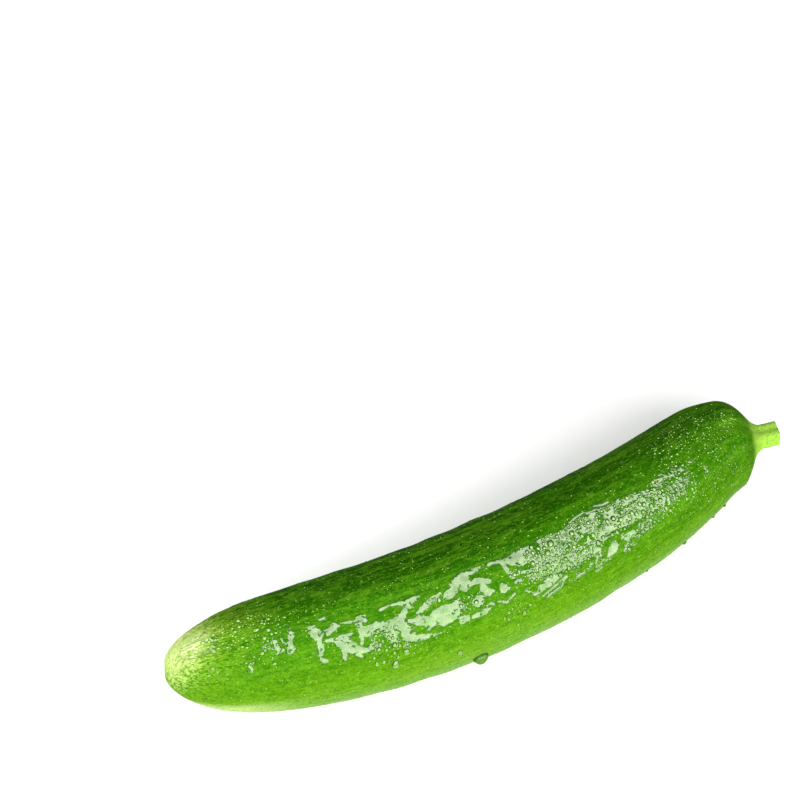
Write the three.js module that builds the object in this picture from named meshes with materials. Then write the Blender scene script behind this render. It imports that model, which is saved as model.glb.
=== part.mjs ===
// A snack-size cucumber, smooth-skinned, lying on its side as picked.
// Millimetres, +Z up. +X runs from the blossom end to the stalk, and Z = 0 is the surface it lies on.
// The fruit and its stalk stub grew as one piece, so the whole thing is one closed body.

import * as THREE from 'three';

const degrees = THREE.MathUtils.degToRad;

// Lengths are measured along the bent axis, from the tip of the blossom end.
const FRUIT_LENGTH = 173.4;
const STUB_LENGTH = 6;
const TOTAL_LENGTH = FRUIT_LENGTH + STUB_LENGTH;

// The thickest section and how the fruit slims away from it on either side
const RADIUS = 16.5;
const THICKEST_AT = 81;
const BLOSSOM_SLIMMING = 3.27e-5;
const STALK_SLIMMING = 3e-5;
const NECK_NARROWING = 1.65;
const NARROWING_REACH = 35;

// The blossom end is long and blunt
const BLOSSOM_LENGTH = 52;
const BLOSSOM_SQUARENESS = 3.96;

// The shoulder falls away to the stalk as a steep cone with a soft rim
const SHOULDER_SLOPE = 1.78;
const SHOULDER_SOFTNESS = 6.3;

// The bend lies flat, like a banana's on a table, with a little less of it past the thickest place.
// The neck turns back.
const BEND_RATE = degrees(0.3088);
const BEND_MIDDLE = 85.5;
const STALK_HALF_BEND = degrees(-1.6);
const STALK_HALF_LENGTH = 45;
const NECK_BEND = degrees(-39);
const NECK_LENGTH = 22.5;

// The stalk stub: five soft corners, flared where it leaves the fruit, with an eased cut end
const STUB_RADIUS = 3;
const STUB_FLARE = 3.4;
const STUB_CORNERS = 5;
const STUB_CORNER_HEIGHT = 0.3;
const CUT_EASE = 0.5;

// The three seed chambers make the section very slightly three-sided, with one side down
const CHAMBER_SWELL = 0.22;

// Faint lengthwise furrows, a little unevenly spaced, which deepen over the shoulder and the blossom end
const FURROWS = 10;
const FURROW_DEPTH = 0.1;
const SHOULDER_FURROW = 0.32;
const BLOSSOM_FURROW = 0.22;
const FURROW_NARROWNESS = 3;
const FURROW_UNEVENNESS = 0.5;

// How far from each end the furrows deepen: from nothing at the larger distance to full at the smaller
const SHOULDER_FURROWED = { full: 5, none: 40 };
const BLOSSOM_FURROWED = { full: 6, none: 40 };

// The furrows and the swell start this far from the blossom tip, and end where the stub starts
const SMOOTH_TIP = 8;
const STUB_START = FRUIT_LENGTH - 2.5;
const STUB_FORMED = FRUIT_LENGTH + 1;
const STUB_TWIST = 0.6;

// The blossom scar, a shallow dimple at the tip
const SCAR_RADIUS = 1.9;
const SCAR_DEPTH = 0.55;

// The underside is pressed flat by this much where it rests
const FLAT_DEPTH = 0.3;

const RINGS = 82;
const SIDES = 60;
const AXIS_STEP = 0.25;

// How much of the spacing of the rings is drawn together towards the ends
const RING_GATHERING = 0.75;

// The cut face stands out past the end of the stub, a little more in its middle than at its eased edge
const CUT_EDGE_STANDS = 0.3;
const CUT_MIDDLE_STANDS = 0.35;

// Colours of the skin, how much of the end colours is mixed in, and where each one starts and is full
const SKIN = new THREE.Color(0x4c9a1b);
const PALE_END = new THREE.Color(0xc4da7c);
const PALE_SHARE = 0.8;
const PALE_REACH = { full: 1, none: 26 };
const DARK_SHOULDER = new THREE.Color(0x1f6a10);
const DARK_SHARE = 0.6;
const DARK_REACH = { full: 6, none: 60 };
const STALK = new THREE.Color(0xa9cf4f);
const STALK_REACH = { full: 0, none: 3 };
const SKIN_ROUGHNESS = 0.28;

// How much a rounded end has closed in, from 0 at its very end to 1 where it meets the full section
function endRounding(distance, length, squareness) {
  const toGo = THREE.MathUtils.clamp(1 - distance / length, 0, 1);
  return Math.sqrt(Math.max(1 - toGo ** squareness, 0));
}

// The larger of two lengths, eased over the given softness where they are alike
function softMost(first, second, softness) {
  const share = THREE.MathUtils.clamp(0.5 + (0.5 * (first - second)) / softness, 0, 1);
  return second + (first - second) * share + softness * share * (1 - share);
}

// Radius of the fruit with no rounded ends
function bodyRadius(along) {
  const slimming = along < THICKEST_AT ? BLOSSOM_SLIMMING : STALK_SLIMMING;
  return RADIUS * (1 - slimming * (along - THICKEST_AT) ** 2);
}

// The stub joins the cone of the shoulder in a smooth hollow
function meanRadius(along) {
  const toStalk = FRUIT_LENGTH - along;
  const blossom = endRounding(along, BLOSSOM_LENGTH, BLOSSOM_SQUARENESS);
  const narrowing = NECK_NARROWING * Math.max(1 - toStalk / NARROWING_REACH, 0) ** 2;
  const side = bodyRadius(along) * blossom - narrowing;
  const cone = STUB_RADIUS + softMost(SHOULDER_SLOPE * toStalk, 0, STUB_FLARE);
  return -softMost(-side, -cone, SHOULDER_SOFTNESS);
}

// Swells and furrows round the section at an angle measured from the inner side of the bend
function relief(along, angle) {
  const { smoothstep } = THREE.MathUtils;
  const toStalk = FRUIT_LENGTH - along;
  const nearStalk = 1 - smoothstep(toStalk, SHOULDER_FURROWED.full, SHOULDER_FURROWED.none);
  const nearBlossom = 1 - smoothstep(along, BLOSSOM_FURROWED.full, BLOSSOM_FURROWED.none);
  const onStub = smoothstep(along, STUB_START, STUB_FORMED);
  const onFruit = (1 - onStub) * smoothstep(along, 0, SMOOTH_TIP);
  const furrowDepth = FURROW_DEPTH + SHOULDER_FURROW * nearStalk + BLOSSOM_FURROW * nearBlossom;
  const furrowPhase = FURROWS * angle + FURROW_UNEVENNESS * Math.sin(2 * angle);
  const furrow = (0.5 + 0.5 * Math.cos(furrowPhase)) ** FURROW_NARROWNESS;
  const chambers = CHAMBER_SWELL * Math.sin(3 * angle);
  const corners = STUB_CORNER_HEIGHT * Math.cos(STUB_CORNERS * angle + STUB_TWIST);
  return onFruit * (-chambers - furrowDepth * furrow) + onStub * corners;
}

// Which way the axis heads at a place along it, as an angle from +X before the ends are lined up
function heading(along) {
  const stalkHalf = THREE.MathUtils.smoothstep(along, THICKEST_AT, THICKEST_AT + STALK_HALF_LENGTH);
  const neck = THREE.MathUtils.smoothstep(along, FRUIT_LENGTH - NECK_LENGTH, FRUIT_LENGTH);
  return (along - BEND_MIDDLE) * BEND_RATE + stalkHalf * STALK_HALF_BEND + neck * NECK_BEND;
}

// The flat bent axis, walked in short steps and turned so that both its ends lie on one line along X
function makeAxis() {
  const count = Math.round(TOTAL_LENGTH / AXIS_STEP);
  const points = [new THREE.Vector2(0, 0)];
  for (let i = 0; i < count; i += 1) {
    const angle = heading((i + 0.5) * AXIS_STEP);
    const step = new THREE.Vector2(Math.cos(angle), Math.sin(angle)).multiplyScalar(AXIS_STEP);
    points.push(points[i].clone().add(step));
  }
  const lean = points[count].angle();
  const origin = new THREE.Vector2(0, 0);
  for (const point of points) point.rotateAround(origin, -lean);
  return { points, lean };
}

const axis = makeAxis();

function axisPoint(along) {
  const place = Math.min(along / AXIS_STEP, axis.points.length - 1.001);
  const before = Math.floor(place);
  return axis.points[before].clone().lerp(axis.points[before + 1], place - before);
}

// The axis dips towards both ends, so that the underside stays on the surface along most of its length
function axisHeight(along) {
  const underside = bodyRadius(Math.min(along, FRUIT_LENGTH)) + relief(THICKEST_AT, -Math.PI / 2);
  return underside - FLAT_DEPTH;
}

function skinPoint(along, angle, radius) {
  const centre = axisPoint(along);
  const turn = heading(along) - axis.lean;
  const scar = SCAR_DEPTH * Math.exp(-((radius / SCAR_RADIUS) ** 2)) * (along < FRUIT_LENGTH / 2 ? 1 : 0);
  const side = radius * Math.cos(angle);
  const x = centre.x - Math.sin(turn) * side + Math.cos(turn) * scar;
  const y = centre.y + Math.cos(turn) * side + Math.sin(turn) * scar;
  const z = axisHeight(along) + radius * Math.sin(angle);
  return new THREE.Vector3(x, y, Math.max(z, 0));
}

// Rings lie closer together at both ends, where the outline curves most
function ringPlaces() {
  const places = [];
  for (let i = 1; i <= RINGS; i += 1) {
    const share = i / RINGS;
    const eased = 0.5 - 0.5 * Math.cos(Math.PI * share);
    const gathered = THREE.MathUtils.lerp(share, eased, RING_GATHERING);
    places.push({ along: gathered * TOTAL_LENGTH, inset: 0 });
  }
  // The cut face: the eased edge, then one ring halfway in
  places.push({ along: TOTAL_LENGTH + CUT_EDGE_STANDS, inset: CUT_EASE });
  places.push({ along: TOTAL_LENGTH + CUT_MIDDLE_STANDS, inset: STUB_RADIUS / 2 });
  return places;
}

function skinColour(along) {
  const nearness = (distance, reach) => 1 - THREE.MathUtils.smoothstep(distance, reach.full, reach.none);
  const toStalk = FRUIT_LENGTH - along;
  const colour = SKIN.clone();
  colour.lerp(PALE_END, PALE_SHARE * nearness(along, PALE_REACH));
  colour.lerp(DARK_SHOULDER, DARK_SHARE * nearness(toStalk, DARK_REACH));
  colour.lerp(STALK, nearness(toStalk, STALK_REACH));
  return colour;
}

function makeCucumberGeometry() {
  const corners = [skinPoint(0, 0, 0)];
  const colours = [skinColour(0)];
  const places = ringPlaces();
  for (const { along, inset } of places) {
    for (let i = 0; i < SIDES; i += 1) {
      const angle = (2 * Math.PI * i) / SIDES;
      const radius = meanRadius(along) + relief(along, angle) - inset;
      corners.push(skinPoint(along, angle, radius));
      colours.push(skinColour(along));
    }
  }
  corners.push(skinPoint(TOTAL_LENGTH + CUT_MIDDLE_STANDS, 0, 0));
  colours.push(skinColour(TOTAL_LENGTH));

  const faces = [];
  const ring = (row, side) => 1 + row * SIDES + (side % SIDES);
  const last = corners.length - 1;
  for (let side = 0; side < SIDES; side += 1) {
    faces.push(0, ring(0, side + 1), ring(0, side));
    faces.push(last, ring(places.length - 1, side), ring(places.length - 1, side + 1));
    for (let row = 0; row + 1 < places.length; row += 1) {
      faces.push(ring(row, side), ring(row + 1, side + 1), ring(row + 1, side));
      faces.push(ring(row, side), ring(row, side + 1), ring(row + 1, side + 1));
    }
  }

  const geometry = new THREE.BufferGeometry().setFromPoints(corners);
  geometry.setAttribute('color', new THREE.Float32BufferAttribute(colours.flatMap((c) => c.toArray()), 3));
  geometry.setIndex(faces);
  geometry.computeVertexNormals();
  return geometry;
}

// The origin is under the middle of the whole box, on the surface
function centreOnOrigin(geometry) {
  geometry.computeBoundingBox();
  const middle = geometry.boundingBox.getCenter(new THREE.Vector3());
  geometry.translate(-middle.x, -middle.y, 0);
}

function makeCucumber() {
  const geometry = makeCucumberGeometry();
  centreOnOrigin(geometry);
  const material = new THREE.MeshStandardMaterial({
    vertexColors: true,
    roughness: SKIN_ROUGHNESS,
    metalness: 0,
  });
  const cucumber = new THREE.Mesh(geometry, material);
  cucumber.name = 'cucumber';
  return cucumber;
}

const part = new THREE.Group();
part.name = 'snack_cucumber';
part.add(makeCucumber());

export default part;
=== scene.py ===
"""A wet snack cucumber lying on its side: the finish of its skin, its stalk stub and the water on it."""

import math

import bpy
import numpy as np
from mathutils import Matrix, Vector


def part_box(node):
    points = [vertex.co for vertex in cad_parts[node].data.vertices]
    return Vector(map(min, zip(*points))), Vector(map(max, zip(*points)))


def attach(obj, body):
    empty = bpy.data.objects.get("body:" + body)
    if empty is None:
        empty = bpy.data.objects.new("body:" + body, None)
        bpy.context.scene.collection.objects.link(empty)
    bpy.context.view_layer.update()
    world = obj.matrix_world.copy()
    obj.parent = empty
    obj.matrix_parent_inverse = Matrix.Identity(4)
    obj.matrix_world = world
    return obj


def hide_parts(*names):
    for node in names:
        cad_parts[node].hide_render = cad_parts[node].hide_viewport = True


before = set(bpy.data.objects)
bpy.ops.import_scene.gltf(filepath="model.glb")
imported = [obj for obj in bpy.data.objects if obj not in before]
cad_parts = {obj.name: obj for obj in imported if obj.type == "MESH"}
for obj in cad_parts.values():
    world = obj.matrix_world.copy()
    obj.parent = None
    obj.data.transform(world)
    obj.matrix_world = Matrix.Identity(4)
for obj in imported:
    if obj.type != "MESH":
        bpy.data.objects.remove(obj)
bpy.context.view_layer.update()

# The form, in metres and radians, measured along the bent axis from the blossom tip
FRUIT_LENGTH = 0.1734
STUB_LENGTH = 0.006
TOTAL_LENGTH = FRUIT_LENGTH + STUB_LENGTH
RADIUS = 0.0165
THICKEST_AT = 0.081
BLOSSOM_SLIMMING = 32.7
STALK_SLIMMING = 30.0
NECK_NARROWING = 0.00165
NARROWING_REACH = 0.035
BLOSSOM_LENGTH = 0.052
BLOSSOM_SQUARENESS = 3.96
SHOULDER_SLOPE = 1.78
SHOULDER_SOFTNESS = 0.0063
BEND_RATE = math.radians(308.8)
BEND_MIDDLE = 0.0855
STALK_HALF_BEND = math.radians(-1.6)
STALK_HALF_LENGTH = 0.045
NECK_BEND = math.radians(-39)
NECK_LENGTH = 0.0225
STUB_RADIUS = 0.003
STUB_FLARE = 0.0034
STUB_CORNERS = 5
STUB_CORNER_HEIGHT = 0.0003
CUT_EASE = 0.0005
CHAMBER_SWELL = 0.00022
FURROWS = 10
FURROW_DEPTH = 0.0001
SHOULDER_FURROW = 0.00032
BLOSSOM_FURROW = 0.00022
FURROW_NARROWNESS = 3
SCAR_RADIUS = 0.0019
SCAR_DEPTH = 0.00055
FLAT_DEPTH = 0.0003
LUMP_WAVES = 14
LUMP_HEIGHT = 0.00004
LUMP_LENGTHS = (0.008, 0.034)
MOST_LUMPS_ROUND = 8

# Where the relief comes and goes, measured from the blossom tip or back from the stalk end of the fruit
RELIEF_START = 0.008
BLOSSOM_FURROWS = (0.006, 0.040)
STALK_FURROWS = (0.040, 0.005)
STUB_START = (0.0025, -0.001)
BLOSSOM_LUMPS = 0.014
STALK_LUMPS = (0.014, 0.003)

SKIN_RINGS = 380
SKIN_SIDES = 224
# Rings gather towards both ends by this share
RING_GATHERING = 0.75
AXIS_STEP = 0.00025
MM = 0.001
# The eased edge of the cut: how far each ring lies past the stub's end and inside its side, in cut eases
CUT_RISE = (0.3, 0.55, 0.68, 0.7, 0.7, 0.7)
CUT_INSET = (0.1, 0.45, 1.0, 2.5, 4.5, 6.5)
STALK_COLOUR_START = (0.0035, 0.0005)
CUT_COLOUR_INSET = (0.0003, 0.0007)


def smoothstep(x, low, high):
    t = np.clip((x - low) / (high - low), 0, 1)
    return t * t * (3 - 2 * t)


def end_rounding(distance, length, squareness):
    to_go = np.clip(1 - distance / length, 0, 1)
    return np.sqrt(np.maximum(1 - to_go**squareness, 0))


def soft_most(first, second, softness):
    """The larger of two lengths, eased over the given softness where they are alike."""
    share = np.clip(0.5 + 0.5 * (first - second) / softness, 0, 1)
    return second + (first - second) * share + softness * share * (1 - share)


def body_radius(along):
    slimming = np.where(along < THICKEST_AT, BLOSSOM_SLIMMING, STALK_SLIMMING)
    return RADIUS * (1 - slimming * (along - THICKEST_AT) ** 2)


def mean_radius(along):
    to_stalk = FRUIT_LENGTH - along
    blossom = end_rounding(along, BLOSSOM_LENGTH, BLOSSOM_SQUARENESS)
    narrowing = NECK_NARROWING * np.maximum(1 - to_stalk / NARROWING_REACH, 0) ** 2
    side = body_radius(along) * blossom - narrowing
    cone = STUB_RADIUS + soft_most(SHOULDER_SLOPE * to_stalk, 0, STUB_FLARE)
    return -soft_most(-side, -cone, SHOULDER_SOFTNESS)


def furrow_at(angle):
    """1 in the middle of a furrow, 0 on the ridge between two."""
    return (0.5 + 0.5 * np.cos(FURROWS * angle + 0.5 * np.sin(2 * angle))) ** FURROW_NARROWNESS


def from_stalk(along, reach):
    """Eases from 0 to 1 between two distances back from the stalk end of the fruit."""
    return smoothstep(along, FRUIT_LENGTH - reach[0], FRUIT_LENGTH - reach[1])


def relief(along, angle):
    near_stalk = from_stalk(along, STALK_FURROWS)
    near_blossom = 1 - smoothstep(along, *BLOSSOM_FURROWS)
    on_stub = from_stalk(along, STUB_START)
    on_fruit = (1 - on_stub) * smoothstep(along, 0, RELIEF_START)
    depth = FURROW_DEPTH + SHOULDER_FURROW * near_stalk + BLOSSOM_FURROW * near_blossom
    chambers = CHAMBER_SWELL * np.sin(3 * angle)
    corners = STUB_CORNER_HEIGHT * np.cos(STUB_CORNERS * angle + 0.6)
    return on_fruit * (-chambers - depth * furrow_at(angle)) + on_stub * corners


def heading(along):
    stalk_half = smoothstep(along, THICKEST_AT, THICKEST_AT + STALK_HALF_LENGTH)
    neck = smoothstep(along, FRUIT_LENGTH - NECK_LENGTH, FRUIT_LENGTH)
    return (along - BEND_MIDDLE) * BEND_RATE + stalk_half * STALK_HALF_BEND + neck * NECK_BEND


def make_axis():
    """The flat bent axis in short steps, turned so that its ends lie on one line along X."""
    middles = (np.arange(round(TOTAL_LENGTH / AXIS_STEP)) + 0.5) * AXIS_STEP
    steps = AXIS_STEP * np.exp(1j * heading(middles))
    points = np.concatenate([[0], np.cumsum(steps)])
    lean = np.angle(points[-1])
    return points * np.exp(-1j * lean), lean


AXIS, LEAN = make_axis()


def axis_height(along):
    underside = body_radius(np.minimum(along, FRUIT_LENGTH)) + relief(THICKEST_AT, -math.pi / 2)
    return underside - FLAT_DEPTH


def place_on_axis(along, angle, radius):
    """Points at a radius and angle round the axis, before the whole is centred over its origin."""
    centre = np.interp(along / AXIS_STEP, np.arange(len(AXIS)), AXIS)
    turn = np.exp(1j * (heading(along) - LEAN))
    scar = SCAR_DEPTH * np.exp(-((radius / SCAR_RADIUS) ** 2)) * (along < FRUIT_LENGTH / 2)
    flat = centre + turn * (scar + 1j * radius * np.cos(angle))
    height = axis_height(along) + radius * np.sin(angle)
    return np.stack([flat.real, flat.imag, height], -1)


def find_centre():
    """How far the CAD solid's box centre lies from the axis's own start."""
    along, angle = np.meshgrid(
        np.linspace(0, TOTAL_LENGTH, 900), np.linspace(0, 2 * math.pi, 240), indexing="ij")
    points = place_on_axis(along, angle, mean_radius(along) + relief(along, angle))
    low, high = points.min((0, 1)), points.max((0, 1))
    solid = [Vector(corner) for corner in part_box("cucumber")]
    wanted = (solid[0] + solid[1]) / 2
    return np.array([wanted.x - (low[0] + high[0]) / 2, wanted.y - (low[1] + high[1]) / 2, 0])


CENTRE = find_centre()


def lumps(along, angle):
    """The slow, shallow unevenness of a grown skin, which fades out at both ends."""
    rng = np.random.default_rng(3)
    height = 0.0
    for _ in range(LUMP_WAVES):
        length, turns = rng.uniform(*LUMP_LENGTHS), rng.integers(1, MOST_LUMPS_ROUND)
        phases = rng.uniform(0, 2 * math.pi, 2)
        along_wave = np.sin(along * 2 * math.pi / length + phases[0])
        height = height + along_wave * np.cos(turns * angle + phases[1])
    fade = smoothstep(along, 0, BLOSSOM_LUMPS) * (1 - from_stalk(along, STALK_LUMPS))
    return LUMP_HEIGHT * height * fade


def skin_point(along, angle, lift=0.0):
    """A point on the skin, or lifted off it by that much."""
    radius = mean_radius(along) + relief(along, angle) + lumps(along, angle) + lift
    point = place_on_axis(along, angle, radius) + CENTRE
    point[..., 2] = np.maximum(point[..., 2], 0)
    return point


def new_object(name, points, faces, material, smooth=True):
    """A mesh object from rows of points and a list of arrays of corners, with one face a row."""
    mesh = bpy.data.meshes.new(name)
    mesh.vertices.add(len(points))
    mesh.vertices.foreach_set("co", np.asarray(points, np.float32).ravel())
    corners = [np.asarray(part) for part in faces]
    sizes = np.concatenate([np.full(len(part), part.shape[1]) for part in corners])
    flat = np.concatenate([part.ravel() for part in corners])
    mesh.loops.add(len(flat))
    mesh.loops.foreach_set("vertex_index", flat.astype(np.int32))
    mesh.polygons.add(len(sizes))
    mesh.polygons.foreach_set("loop_start", (np.cumsum(sizes) - sizes).astype(np.int32))
    mesh.polygons.foreach_set("use_smooth", np.full(len(sizes), smooth))
    mesh.materials.append(material)
    mesh.update(calc_edges=True)
    mesh.validate()
    made = bpy.data.objects.new(name, mesh)
    bpy.context.scene.collection.objects.link(made)
    return made


def add_attribute(made, name, kind, values):
    layer = made.data.attributes.new(name, kind, "POINT")
    key = "vector" if kind == "FLOAT_VECTOR" else "value"
    layer.data.foreach_set(key, np.asarray(values, np.float32).ravel())


def ringed_faces(rings, sides):
    """The faces of a form made of a first point, rings of points and a last point."""
    side = np.arange(sides)
    after = (side + 1) % sides
    low = 1 + np.arange(rings - 1)[:, None] * sides
    high = low + sides
    last = 1 + (rings - 1) * sides
    first_fan = np.stack([0 * side, 1 + after, 1 + side], 1)
    bands = np.stack([low + side, low + after, high + after, high + side], -1).reshape(-1, 4)
    last_fan = np.stack([last + side, last + after, 0 * side + last + sides], 1)
    return first_fan, bands, last_fan


def add_skin_places(made, along, angle, inset=0.0):
    """Where each point lies on the skin, as if the fruit were straight, for the skin's colours."""
    radius = mean_radius(along) + relief(along, angle) - inset
    straight = np.stack([along, radius * np.cos(angle), radius * np.sin(angle)], -1) / MM
    add_attribute(made, "straight", "FLOAT_VECTOR", straight)
    add_attribute(made, "furrow", "FLOAT", furrow_at(angle))


class Value:
    """A socket that adds a Math node for each operator used on it."""

    def __init__(self, finish, socket):
        self.finish, self.socket = finish, socket

    def math(self, operation, *others):
        settings = {"operation": operation}
        return self.finish.node("ShaderNodeMath", settings, {i: v for i, v in enumerate((self, *others))})

    def __add__(self, other):
        return self.math("ADD", other)

    __radd__ = __add__

    def __mul__(self, other):
        return self.math("MULTIPLY", other)

    __rmul__ = __mul__

    def __sub__(self, other):
        return self.math("SUBTRACT", other)

    def __rsub__(self, other):
        return (self * -1) + other

    def most(self, other):
        return self.math("MAXIMUM", other)

    def step(self, low, high):
        """Eases from 0 at low to 1 at high."""
        settings = {"interpolation_type": "SMOOTHSTEP"}
        sockets = {"Value": self, "From Min": low, "From Max": high}
        return self.finish.node("ShaderNodeMapRange", settings, sockets)


class Finish:
    """A material that is built up one node at a time."""

    def __init__(self, name):
        self.material = bpy.data.materials.new(name)
        self.material.use_nodes = True
        self.tree = self.material.node_tree
        self.tree.nodes.clear()

    def node(self, kind, settings=None, sockets=None, output=0):
        """Adds a node: its settings first, then its sockets, which take numbers, colours or links."""
        made = self.tree.nodes.new(kind)
        for key, value in (settings or {}).items():
            setattr(made, key, value)
        for key, value in (sockets or {}).items():
            target = made.inputs[key]
            if isinstance(value, Value):
                self.tree.links.new(value.socket, target)
            elif hasattr(target.default_value, "__len__") and len(target.default_value) == 4:
                target.default_value = (*value, 1.0)
            else:
                target.default_value = value
        return Value(self, made.outputs[output]) if made.outputs else None

    def attribute(self, name, output):
        return self.node("ShaderNodeAttribute", {"attribute_name": name}, output=output)

    def parts_of(self, vector):
        made = self.node("ShaderNodeSeparateXYZ", None, {0: vector})
        return [Value(self, socket) for socket in made.socket.node.outputs]

    def stretched(self, vector, scale):
        return self.node("ShaderNodeVectorMath", {"operation": "MULTIPLY"}, {0: vector, 1: scale})

    def noise(self, vector, scale, detail=3, roughness=0.55, distortion=0.0):
        sockets = {"Vector": vector, "Scale": scale, "Detail": detail, "Roughness": roughness,
                   "Distortion": distortion}
        return self.node("ShaderNodeTexNoise", None, sockets)

    def cells(self, vector, scale, randomness=1.0, output=0):
        sockets = {"Vector": vector, "Scale": scale, "Randomness": randomness}
        return self.node("ShaderNodeTexVoronoi", None, sockets, output)

    def mixed(self, factor, first, second):
        """A colour that goes from the first to the second as the factor goes from 0 to 1."""
        settings = {"data_type": "RGBA"}
        return self.node("ShaderNodeMix", settings, {0: factor, 6: first, 7: second}, output=2)

    def bump(self, height, distance, strength):
        sockets = {"Height": height, "Distance": distance, "Strength": strength}
        return self.node("ShaderNodeBump", None, sockets)

    def surface(self, shader):
        self.node("ShaderNodeOutputMaterial", None, {"Surface": shader})
        return self.material


# Colours of the skin, as linear red, green and blue
MID_GREEN = (0.023, 0.121, 0.0005)
DEEP_GREEN = (0.003, 0.036, 0.0003)
BELLY_GREEN = (0.067, 0.166, 0.003)
STREAK_GREEN = (0.078, 0.217, 0.006)
SHADE_GREEN = (0.012, 0.078, 0.0008)
TIP_YELLOW = (0.195, 0.340, 0.019)
# The tip's cream, also used for painted glow and highlight
TIP_CREAM_AND_GLOW = (0.510, 0.570, 0.240)
SPECK_GREEN = (0.200, 0.360, 0.040)
STALK_GREEN = (0.205, 0.370, 0.040)
CUT_GREEN = (0.380, 0.480, 0.160)
# Painted shade for the rims of water, and a painted glint for the light that drops focus
WATER_EDGE_SHADE = (0.003, 0.030, 0.001)
WATER_GLINT = (0.260, 0.470, 0.050)


# Noises in the skin: how each is squeezed along, across and up, then its scale, detail, roughness and
# distortion
PATTERNS = {
    "clouds": ((0.05, 0.15, 0.15), 1.0, 4, 0.6, 0.0),
    "streaks": ((0.05, 1.0, 1.0), 0.60, 5, 0.65, 0.5),
    "threads": ((0.12, 1.0, 1.0), 2.2, 3, 0.6, 0.4),
    "mottle": ((0.55, 1.0, 1.0), 0.75, 5, 0.72, 0.8),
    "grain": ((0.75, 1.0, 1.0), 2.4, 3, 0.7, 0.0),
}

# Layers of the skin's pattern, from below: the noise, where in it the layer starts and is full, its strength
# and its colour
LAYERS = (
    ("clouds", 0.50, 0.66, 0.30, STREAK_GREEN),
    ("clouds", 0.48, 0.36, 0.45, MID_GREEN),
    ("streaks", 0.50, 0.62, 0.40, STREAK_GREEN),
    ("streaks", 0.48, 0.36, 0.30, SHADE_GREEN),
    ("threads", 0.52, 0.64, 0.30, STREAK_GREEN),
    ("threads", 0.50, 0.38, 0.25, SHADE_GREEN),
    ("mottle", 0.50, 0.60, 0.46, STREAK_GREEN),
    ("mottle", 0.48, 0.38, 0.30, SHADE_GREEN),
    ("grain", 0.54, 0.66, 0.38, STREAK_GREEN),
)

# Where colours come and go, in millimetres along the axis or across the fruit
BELLY_FADE = (-3.0, 14.0)
SHADED_TOP_FADE = (2.0, 13.0)
BOUNCE_EDGE_FADE = (9.0, 16.0)
SHOULDER_FADE = (92.0, 150.0)
PALE_FURROW_FADE = (110.0, 165.0)
TIP_FADE = (-8.0, 5.0)
RAY_FADE = (-4.0, 18.0)
RAY_AND_HIGHLIGHT_FADE = (0.0, 8.0)
CREAM_AND_GLOW_FADE = (-7.0, 2.5)
UNDER_TIP_FADE = (2.0, 9.0)
UNDER_TIP_END = (8.0, 30.0)
GLOW_EDGE_FADE = (5.0, 8.0)
GLOW_EDGE_END = (16.0, 36.0)
WET_LOW_SIDE_FADE = (1.0, 9.0)
DRIER_BACK_FADE = (2.0, 10.0)

SPECK_SCALE = 0.62
SPECK_RIM = (0.10, 0.26)
SPECK_CHOICE = (0.55, 0.80)


def body_colour(f, along, across, up, noises):
    """Deep green on top, paler underneath and darker at the shoulder, with the streaks and mottling."""
    # How far towards the top, which is darkened with painted shade, and away from the belly
    toward_shaded_top = across * 0.75 + up * 0.65 + (noises["clouds"] - 0.5) * 12
    colour = f.mixed((toward_shaded_top * -1).step(*BELLY_FADE), MID_GREEN, BELLY_GREEN)
    # Painted shade: the top turns deep green, partly its own colour and partly shade painted in
    colour = f.mixed(toward_shaded_top.step(*SHADED_TOP_FADE), colour, DEEP_GREEN)
    colour = f.mixed(along.step(*SHOULDER_FADE) * 0.32, colour, SHADE_GREEN)
    for name, start, full, strength, layer_colour in LAYERS:
        colour = f.mixed(noises[name].step(start, full) * strength, colour, layer_colour)
    pale_furrow = f.attribute("furrow", 2) * along.step(*PALE_FURROW_FADE)
    colour = f.mixed(pale_furrow * 0.25, colour, STREAK_GREEN)
    # Painted bounce light: a paler band along the low edge
    painted_bounce_edge = (toward_shaded_top * -1).step(*BOUNCE_EDGE_FADE)
    return f.mixed(painted_bounce_edge * 0.18, colour, SPECK_GREEN)


def tip_colour(f, colour, along, across, up, noises):
    """Yellow and cream over the blossom end, with painted glow, further along on top, and rays that run into
    the green.
    """
    streaks, threads, mottle = noises["streaks"] - 0.5, noises["threads"], noises["mottle"] - 0.5
    # The yellow reaches further along on top, partly as painted light
    yellow = 1 - (along - up * 1.1 + across.most(0) * 0.3 + streaks * 24 + mottle * 8).step(*TIP_FADE)
    colour = f.mixed(yellow * 0.9, colour, TIP_YELLOW)
    rays = (1 - (along - up * 1.2 + (threads - 0.5) * 50).step(*RAY_FADE)) * threads.step(0.42, 0.56)
    colour = f.mixed(rays * 0.6, colour, TIP_YELLOW)
    below = across * -0.3 - up
    under_tip = below.step(*UNDER_TIP_FADE) * (1 - along.step(*UNDER_TIP_END))
    colour = f.mixed(under_tip * 0.30, colour, TIP_YELLOW)
    # Painted glow: a pale cream rim along the tip's lower edge
    painted_glow_edge = below.step(*GLOW_EDGE_FADE) * (1 - along.step(*GLOW_EDGE_END))
    colour = f.mixed(painted_glow_edge * 0.35, colour, TIP_CREAM_AND_GLOW)
    # Pale rays near the top: partly the tip's own streaks, partly painted highlight
    rays_and_painted_highlight = (1 - (along - up * 0.7 + mottle * 8).step(*RAY_AND_HIGHLIGHT_FADE)) * threads.step(0.49, 0.57)
    colour = f.mixed(rays_and_painted_highlight * 0.45, colour, TIP_CREAM_AND_GLOW)
    # The very tip's own cream, with a painted glow that reaches further along on top
    cream = 1 - (along - up + mottle * 10).step(*CREAM_AND_GLOW_FADE)
    return f.mixed(cream * 0.8, colour, TIP_CREAM_AND_GLOW)


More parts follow.
